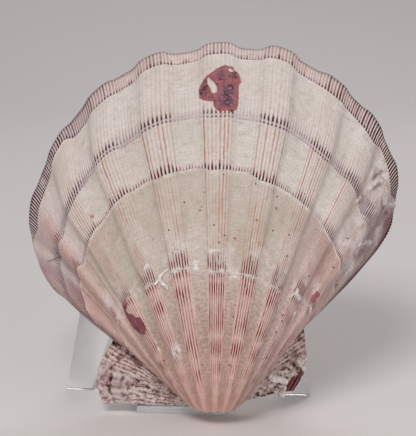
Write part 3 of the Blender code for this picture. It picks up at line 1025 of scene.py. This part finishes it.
def fan_material():
    """Outside of the fan: radial furrows, growth pauses, marks, chalk and fine grain."""
    n = Nodes("shell_outside")
    place = n.object_place()
    riblet, distance, rib = n.field("lay")
    dark, red, crest = n.field("lines")
    maroon, chalk, dirt = n.field("marks")
    past_rim, lower, pitted = n.field("more")
    lift, line_phase, lower_phase = n.field("lift")
    wrinkled = n.field("folds")[0]
    tone = n.attribute("tone", "Color")
    ink = n.attribute("ink", "Color")

    # The lines follow their own count below the rim band, and the riblets in it
    wander = n.noise_over(riblet * 0.6, distance * 0.35, 3.0, 3.0)
    in_band = n.between(past_rim, -0.05, 0.05)
    below = n.math("GREATER_THAN", lower, 0.5)
    wide = line_phase + (lower_phase - line_phase) * below + (wander - 0.5) * 0.45
    phase = wide + (riblet - wide) * in_band
    off_furrow = n.math("ABSOLUTE", n.math("FRACT", phase) - 0.5)
    widening = n.between(rib, 4.0, 4.6) * 0.12 + 0.05
    furrow = n.between(off_furrow - in_band * widening, 0.14, 0.31, 1.0, 0.0)
    thin = n.between(off_furrow, 0.09, 0.24, 1.0, 0.0)
    thin = thin + (furrow - thin) * lower
    streaky = n.noise_over(riblet * 0.9, distance * 0.22, 0.0)

    # The ground
    cloudy = n.noise(place, 42.0, 5.0)
    mottled = n.noise(place, 300.0, 6.0, 0.65)
    grain = n.noise(place, 1500.0, 3.0, 0.7)
    speck = n.noise(place, 2600.0, 2.0)
    wrinkle = n.noise_over(rib * 6.0, distance * 1.3, 0.0, 4.0, 0.65)
    tone = n.shaded(tone, n.between(cloudy, 0.38, 0.66), (0.93, 0.91, 0.88))
    tone = n.shaded(tone, n.between(mottled, 0.52, 0.70, 0.0, 0.9), (1.10, 1.10, 1.11))
    tone = n.shaded(tone, n.between(mottled, 0.46, 0.32, 0.0, 0.9), (0.86, 0.83, 0.80))
    deeper = n.mix(wrinkled, (0.90, 0.87, 0.85), (0.76, 0.72, 0.70))
    tone = n.shaded(tone, n.between(wrinkle, 0.48, 0.62, 0.0, 0.8), deeper)
    paler_fold = wrinkled * n.between(wrinkle, 0.46, 0.36, 0.0, 0.5)
    tone = n.mix(paler_fold, tone, linear(208, 190, 182))
    tone = n.shaded(tone, n.between(grain, 0.44, 0.62, 0.0, 0.8), (0.90, 0.89, 0.88))
    tone = n.shaded(tone, n.between(speck, 0.52, 0.66), (1.11, 1.11, 1.12))
    tone = n.shaded(tone, n.between(speck, 0.48, 0.34), (0.85, 0.81, 0.79))

    # The lines, then dirt and chalk
    pale = ((1.0 - furrow) * (crest * (lower * 0.12 + 0.16))).held()
    tone = n.mix(pale, tone, linear(226, 210, 203))
    tone = n.mix(furrow * 0.07 * (1.0 - lower), tone, linear(150, 120, 118))
    red_share = (red * thin * n.between(streaky, 0.34, 0.56, 0.45, 1.0)).held()
    tone = n.mix(red_share, tone, n.mix(lower, linear(182, 124, 102), linear(122, 10, 22)))
    dark_share = (dark * furrow * n.between(streaky, 0.30, 0.58, 0.75, 1.1)).held()
    tone = n.mix(dark_share, tone, ink)
    dirty = (dirt * n.between(mottled, 0.36, 0.56)).held()
    tone = n.mix(dirty, tone, linear(160, 128, 100))
    chalky = (chalk * n.between(mottled, 0.34, 0.54)).held()
    white = n.mix(n.between(grain, 0.4, 0.6), linear(232, 226, 221), linear(206, 194, 188))
    tone = n.mix(chalky, tone, white)

    tone = stained(n, tone, place, mottled, maroon, lower)
    tone, pit = spotted(n, tone, place, pitted)

    height = wrinkle * 0.9 + n.between(off_furrow, 0.05, 0.40) * (lift * 0.55)
    height = height + grain * 0.35 + mottled * 0.8 - pit + chalky * 0.7
    height = height - n.math("MAXIMUM", dark_share, red_share) * 0.35
    rough = n.between(chalky + mottled, 0.3, 1.1, 0.50, 0.80)
    return n.finish(
        Base_Color=tone, Roughness=rough, Specular_IOR_Level=0.2, IOR=1.5,
        Normal=n.raised(height, 0.0004, 0.8),
    )


def ear_material():
    """Ears: pale ribs and knobs over dark brown and purple gaps, with painted shade darkening each
    scale towards its gaps.
    """
    n = Nodes("shell_ears")
    place = n.object_place()
    level, crumbly, corner = n.field("marks")
    distance = n.field("lay")[1]
    tone = n.attribute("tone", "Color")
    grain = n.noise(place, 900.0, 5.0, 0.7)
    blotch = n.noise(place, 210.0, 5.0, 0.65)
    crumbs = n.noise(place, 480.0, 4.0, 0.7) * 0.65 + blotch * 0.35
    level = level + (grain - 0.5) * 0.6 + (blotch - 0.5) * 0.8
    level = level - n.between(crumbly, 0.0, 0.6, 0.12, 0.0)

    # Painted shade: each scale grows darker from its top down towards its gaps
    tone = n.shaded(tone, n.between(level, 0.25, 0.80, 1.0, 0.0), (0.55, 0.44, 0.42))
    tone = n.shaded(tone, n.between(blotch, 0.42, 0.66, 0.0, 0.6), (0.82, 0.75, 0.73))
    tone = n.shaded(tone, n.between(crumbs, 0.52, 0.60, 0.0, 0.9), (0.74, 0.60, 0.57))
    # The gaps: partly the ears' own dark brown, partly painted shadow cast by the knobs
    gap_share = n.between(n.noise(place, 160.0), 0.40, 0.56)
    gap_share = gap_share * n.between(crumbly, 0.0, 0.6, 0.25, 1.0)
    gaps = n.mix(gap_share, linear(50, 18, 22), linear(128, 82, 78))
    tone = n.mix(n.between(level, 0.06, 0.38), gaps, tone)
    pale = (crumbly * n.between(crumbs, 0.505, 0.46)).held()
    tone = n.mix(pale, tone, linear(232, 220, 213))
    dark = (crumbly * n.between(crumbs, 0.53, 0.57)).held()
    tone = n.mix(dark, tone, linear(84, 46, 44))
    streaks = n.noise_over(distance * 0.32, 0.0, blotch * 1.5, 3.0)
    dark_streak = (corner * n.between(streaks, 0.40, 0.56)).held()
    tone = n.mix(dark_streak, tone, linear(56, 22, 28))

    height = grain * 0.8 + blotch * 0.9 - crumbs * (crumbly * 1.4 + 0.5)
    return n.finish(
        Base_Color=tone, Roughness=0.74, Specular_IOR_Level=0.2, IOR=1.5,
        Normal=n.raised(height, 0.0007, 1.0),
    )


def inside_material():
    """Smooth white inside, with a purple margin, faint rays and warmer clouds."""
    n = Nodes("shell_inside")
    place = n.object_place()
    growth, rib = n.field("lay")[1:]
    rays = n.noise_over(rib * 2.5, growth * 0.02, 0.0)
    cloudy = n.between(n.noise(place, 30.0), 0.35, 0.65)
    tone = n.mix(cloudy, linear(236, 229, 222), linear(224, 211, 203))
    tone = n.mix(n.between(rays, 0.5, 0.7, 0.0, 0.4), tone, linear(206, 178, 172))
    margin = n.between(growth + rays * 14.0, 138.0, 152.0)
    tone = n.mix(margin * 0.8, tone, linear(136, 86, 96))
    rings = n.noise_over(0.0, growth * 0.8, 0.0)
    height = rings * 0.6 + n.noise(place, 260.0) * 0.2
    return n.finish(
        Base_Color=tone, Roughness=0.28, IOR=1.53, Coat_Weight=0.25, Coat_Roughness=0.15,
        Normal=n.raised(height, 0.0003, 0.4),
    )


def chalk_material():
    """White lime of worm tubes and crusts."""
    n = Nodes("chalk")
    place = n.object_place()
    grain = n.noise(place, 900.0, 5.0, 0.7)
    tone = n.mix(n.between(grain, 0.38, 0.62), linear(242, 236, 230), linear(206, 190, 183))
    height = grain + n.noise(place, 260.0) * 0.8
    return n.finish(
        Base_Color=tone, Roughness=0.78, IOR=1.5, Normal=n.raised(height, 0.0004, 0.9),
    )


def acrylic_material(name, tint, transmission, cloud, haze):
    """Clear acrylic, with the scale and detail of its clouds and the range of its haze."""
    n = Nodes(name)
    hazy = n.between(n.noise(n.object_place(), *cloud), *haze)
    return n.finish(
        Base_Color=tint, Roughness=hazy, IOR=1.49, Transmission_Weight=transmission,
    )


def plain_material(name, colour, roughness, unevenness):
    """One colour, darker in places by this share of it."""
    n = Nodes(name)
    grain = n.noise(n.object_place(), 500.0, 3.0)
    tone = n.mix(n.between(grain, 0.35, 0.65, 0.0, unevenness), colour, (0.0, 0.0, 0.0))
    return n.finish(Base_Color=tone, Roughness=roughness, Normal=n.raised(grain, 0.0002, 0.05))


def add_object(name, data):
    thing = bpy.data.objects.new(name, data)
    bpy.context.scene.collection.objects.link(thing)
    return thing


def set_attribute(mesh, name, values, kind="FLOAT_VECTOR", field="vector"):
    attribute = mesh.attributes.new(name, kind, "POINT")
    attribute.data.foreach_set(field, np.ascontiguousarray(values, dtype=np.float32).ravel())


def face_outwards(mesh):
    shape = bmesh.new()
    shape.from_mesh(mesh)
    bmesh.ops.recalc_face_normals(shape, faces=list(shape.faces))
    shape.to_mesh(mesh)
    shape.free()
    mesh.shade_smooth()
    mesh.update()


def valve_faces(coarse, fine, rim, inner):
    """Faces between the numbered grids, and the material of each: 0 outside, 2 inside."""
    outer = np.concatenate([fine, rim])
    faces = [tuple(face) for grid in (coarse, outer, inner) for face in quads(grid)]
    outer_count = len(quads(coarse)) + len(quads(outer))
    kinds = [0] * outer_count + [2] * (len(faces) - outer_count)
    for kind, first, second in (
        (0, coarse[-1], fine[0]),
        (2, inner[-1], rim[-1]),
        (2, coarse[0], inner[0]),
        (2, np.concatenate([coarse[:, 0], outer[:, 0]]), inner[:, 0]),
        (2, np.concatenate([coarse[:, -1], outer[:, -1]]), inner[:, -1]),
    ):
        triangles = [t for t in zip_strip(list(first), list(second)) if len(set(t)) == 3]
        faces += triangles
        kinds += [kind] * len(triangles)
    return [tuple(int(vertex) for vertex in face) for face in faces], kinds


def spread(field):
    """A value for every vertex of the valve, from its grid."""
    parts = (
        field[:COARSE_ROWS, ::COARSE_STEP], field[COARSE_ROWS:], field[-1:], field[-1:],
        field[INNER],
    )
    return np.concatenate([part.reshape(-1, *field.shape[2:]) for part in parts])


def spread_three(*fields):
    return spread(np.stack(np.broadcast_arrays(*fields), axis=-1))


def make_valve():
    place, ear_level = outer_shell()
    inside = inner_shell()
    world = to_world(place)
    parts = (
        world[:COARSE_ROWS, ::COARSE_STEP], world[COARSE_ROWS:],
        to_world(rim_rows(place, inside)), to_world(inside),
    )
    starts = np.cumsum([0] + [part.shape[0] * part.shape[1] for part in parts])
    grids = [
        start + np.arange(part.shape[0] * part.shape[1]).reshape(part.shape[:2])
        for start, part in zip(starts, parts)
    ]
    faces, kinds = valve_faces(*grids)
    mesh = bpy.data.meshes.new("valve_shell")
    places = np.concatenate([part.reshape(-1, 3) for part in parts])
    mesh.from_pydata(places.tolist(), [], faces)

    for name, *fields in (
        ("lay", RIBLET, GROWTH * MILLIMETRES, RIB),
        ("lines", furrow_darkness(), line_redness(), CREST),
        (
            "marks", np.where(IN_EAR, ear_level, maroon_depth()),
            np.where(IN_EAR, CRUMBLY, chalkiness()), np.where(IN_EAR, EAR_CORNER, dirtiness()),
        ),
        ("more", PAST_RIM, LOWER, pitting()),
        ("lift", riblet_lift(), LINE_PHASE, LOWER_PHASE),
        ("folds", WRINKLED, 0.0 * RIB, 0.0 * RIB),
    ):
        set_attribute(mesh, name, spread_three(*fields))
    tone = np.where(IN_EAR[..., None], ear_colours(), shell_colours())
    for name, colour in (("tone", tone), ("ink", ink_colours())):
        colour = np.concatenate([colour, np.ones((*GROWTH.shape, 1))], axis=-1)
        set_attribute(mesh, name, spread(colour), "FLOAT_COLOR", "color")

    in_ear = spread(IN_EAR)
    mesh.polygons.foreach_set("material_index", [
        1 if kind == 0 and all(in_ear[vertex] for vertex in face) else kind
        for kind, face in zip(kinds, faces)
    ])
    mesh.validate()
    face_outwards(mesh)
    for material in (fan_material(), ear_material(), inside_material()):
        mesh.materials.append(material)
    valve = add_object("valve_shell", mesh)
    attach(valve, "root")
    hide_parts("valve")


def tube_piece(name, points, radii, material, sides, steps=6):
    """A lumpy closed tube through world points, with a radius at each."""
    known = np.arange(len(points))
    at = np.linspace(0, len(points) - 1, (len(points) - 1) * steps + 1)
    path = np.stack([curve_through(known, points[:, axis], at) for axis in range(3)], axis=-1)
    radius = np.interp(at, known, radii) * (0.85 + 0.3 * noise(at * 3.0, 0.0 * at, 91))
    ahead = unit(np.gradient(path, axis=0))
    side = unit(np.cross(ahead, np.array([0.31, -0.87, 0.38])))
    other = np.cross(ahead, side)
    turn = np.linspace(0.0, 2.0 * np.pi, sides, endpoint=False)
    turned = turn[None, :, None]
    ring = np.cos(turned) * side[:, None] + np.sin(turned) * other[:, None]
    lumps = 1.0 + 0.15 * (noise(turn[None, :] * 2.0, at[:, None] * 4.0, 97)[..., None] - 0.5)
    places = path[:, None] + ring * radius[:, None, None] * lumps

    shape = bmesh.new()
    rings = [[shape.verts.new(place) for place in row] for row in places]
    for first, second in zip(rings, rings[1:]):
        for index in range(sides):
            after_index = (index + 1) % sides
            shape.faces.new((first[index], first[after_index], second[after_index], second[index]))
    for end, direction in ((0, -0.5), (-1, 0.5)):
        cap = shape.verts.new(path[end] + ahead[end] * radius[end] * direction)
        for index in range(sides):
            shape.faces.new((rings[end][index], rings[end][(index + 1) % sides], cap))
    mesh = bpy.data.meshes.new(name)
    shape.to_mesh(mesh)
    shape.free()
    face_outwards(mesh)
    mesh.materials.append(material)
    piece = add_object(name, mesh)
    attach(piece, "root")


def on_right_ear(points, lift):
    """World places over the right ear, from (share down from the notch, growth)."""
    down, growth = np.array(points).T
    return to_world(ear_place(RIGHT_EAR, down, growth) + np.array([0.0, 0.0, lift]))


def make_crusts():
    """Worm tubes and a crust of lime, and two dark strands."""
    chalk = chalk_material()
    dark = plain_material("dark_strand", linear(70, 40, 44), 0.6, 0.4)
    for name, ground, lift, points, radii, material, sides in (
        ("worm_tube_upper", on_fan, 0.0004, (
            (-1.30, .435), (-1.38, .434), (-1.50, .432), (-1.58, .430), (-1.64, .426),
            (-1.72, .423), (-1.80, .419),
        ), (.0004, .0005, .0005, .0006, .0006, .0005, .0004), chalk, 12),
        ("worm_tube_lower", on_fan, 0.0004, (
            (-1.64, .422), (-1.58, .412), (-1.50, .403), (-1.48, .396),
        ), (.0005, .0007, .0007, .0004), chalk, 12),
        ("worm_tube_ear", on_right_ear, 0.0013, (
            (.40, .600), (.50, .625), (.58, .655), (.67, .740), (.80, .845),
        ), (.0010, .0013, .0014, .0015, .0012), chalk, 12),
        ("crust_knob", on_right_ear, 0.0004, (
            (.97, .845), (1.02, .868), (1.06, .885),
        ), (.0015, .0026, .0017), chalk, 12),
        ("strand_long", on_fan, 0.0004, (
            (-4.52, .910), (-4.42, .872), (-4.30, .835), (-4.20, .800),
        ), (.00008, .00012, .00012, .00008), dark, 6),
        ("strand_short", on_fan, 0.0004, (
            (-4.20, .800), (-4.14, .811), (-4.08, .822),
        ), (.00010, .00010, .00008), dark, 6),
    ):
        tube_piece(name, ground(points, lift), radii, material, sides)


def is_sawn_edge(face):
    """The sheet's faces are wide; its sawn edges are little wider than it is thick."""
    longest = max(edge.calc_length() for edge in face.edges)
    return face.calc_area() > 1e-9 and face.calc_area() / longest < WIDEST_SAWN_EDGE


def finish_easel():
    """The folded sheet with its edges eased, its faces clear and its sawn edges frosted."""
    mesh = bpy.data.objects["easel"].data.copy()
    mesh.name = "easel_sheet"
    shape = bmesh.new()
    shape.from_mesh(mesh)
    bmesh.ops.remove_doubles(shape, verts=list(shape.verts), dist=0.00001)
    bmesh.ops.dissolve_limit(
        shape, angle_limit=math.radians(1.0), verts=list(shape.verts), edges=list(shape.edges),
    )
    sharp = [
        edge for edge in shape.edges
        if edge.is_manifold and edge.calc_face_angle() > math.radians(40.0)
    ]
    bmesh.ops.bevel(
        shape, geom=sharp, offset=EASED_EDGE, segments=2, profile=0.5, affect="EDGES",
        clamp_overlap=True,
    )
    bmesh.ops.recalc_face_normals(shape, faces=list(shape.faces))
    for face in shape.faces:
        face.smooth = True
        face.material_index = int(is_sawn_edge(face))
    mesh.materials.clear()
    shape.to_mesh(mesh)
    shape.free()
    mesh.materials.append(acrylic_material(
        "clear_acrylic_face", (0.97, 0.99, 0.99), 1.0, (60.0, 4.0), (0.45, 0.75, 0.0, 0.03),
    ))
    mesh.materials.append(acrylic_material(
        "clear_acrylic_sawn_edge", (0.93, 0.955, 0.955), 0.6, (90.0, 3.0),
        (0.35, 0.65, 0.225, 0.275),
    ))
    easel = add_object("easel_sheet", mesh)
    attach(easel, "root")
    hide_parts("easel")


def make_stage():
    """A floor that curves up behind the object into a plain backdrop."""
    front, top, half_width = -2.5, 3.0, 3.0
    curve_from, radius, steps = 0.9, 0.8, 24
    turns = [math.pi / 2.0 * step / steps for step in range(1, steps + 1)]
    profile = [(front, 0.0), (curve_from, 0.0)]
    profile += [
        (curve_from + radius * math.sin(turn), radius * (1.0 - math.cos(turn))) for turn in turns
    ]
    profile += [(curve_from + radius, top)]
    shape = bmesh.new()
    left, right = (
        [shape.verts.new((x, y, z - BELOW_FEET)) for y, z in profile]
        for x in (-half_width, half_width)
    )
    for index in range(len(profile) - 1):
        shape.faces.new((left[index], right[index], right[index + 1], left[index + 1]))
    mesh = bpy.data.meshes.new("floor")
    shape.to_mesh(mesh)
    shape.free()
    mesh.shade_smooth()
    mesh.materials.append(plain_material("pale_floor", (0.72, 0.69, 0.675), 0.75, 0.01))
    floor = add_object("floor", mesh)


def add_light(name, place, target, size, power, colour):
    lamp = bpy.data.lights.new(name, "AREA")
    lamp.shape = "RECTANGLE"
    lamp.size, lamp.size_y = size
    lamp.energy = power
    lamp.color = colour
    light = add_object(name, lamp)
    light.location = place
    light.rotation_euler = (Vector(target) - Vector(place)).to_track_quat("-Z", "Y").to_euler()


def make_lights():
    middle, low = (0.0, -0.01, 0.07), (0.0, 0.0, 0.05)
    add_light("key", (-0.35, -0.95, 1.10), middle, (0.6, 0.45), 10.6, (1.0, 0.982, 0.985))
    add_light("fill", (0.9, -0.8, 0.5), middle, (0.9, 0.7), 2.4, (0.98, 0.98, 1.0))
    add_light("low", (0.0, -1.3, 0.16), low, (1.2, 0.25), 2.6, (1.0, 0.97, 0.97))
    add_light("back", (0.2, 0.9, 0.9), middle, (1.0, 0.6), 3.5, (1.0, 1.0, 1.0))
    world = bpy.data.worlds.new("studio")
    world.use_nodes = True
    background = world.node_tree.nodes["Background"]
    background.inputs["Color"].default_value = (0.92, 0.90, 0.915, 1.0)
    background.inputs["Strength"].default_value = 0.32
    bpy.context.scene.world = world


def make_camera():
    data = bpy.data.cameras.new("camera")
    data.lens = LENS
    data.sensor_width = SENSOR_WIDTH
    data.clip_start = 0.01
    camera = add_object("camera", data)
    camera.location = CAMERA_PLACE
    camera.rotation_euler = (math.pi / 2.0 - CAMERA_DOWN, 0.0, 0.0)
    bpy.context.scene.camera = camera


bpy.context.scene.view_settings.view_transform = "Standard"
make_camera()
make_lights()
make_stage()
make_valve()
make_crusts()
finish_easel()
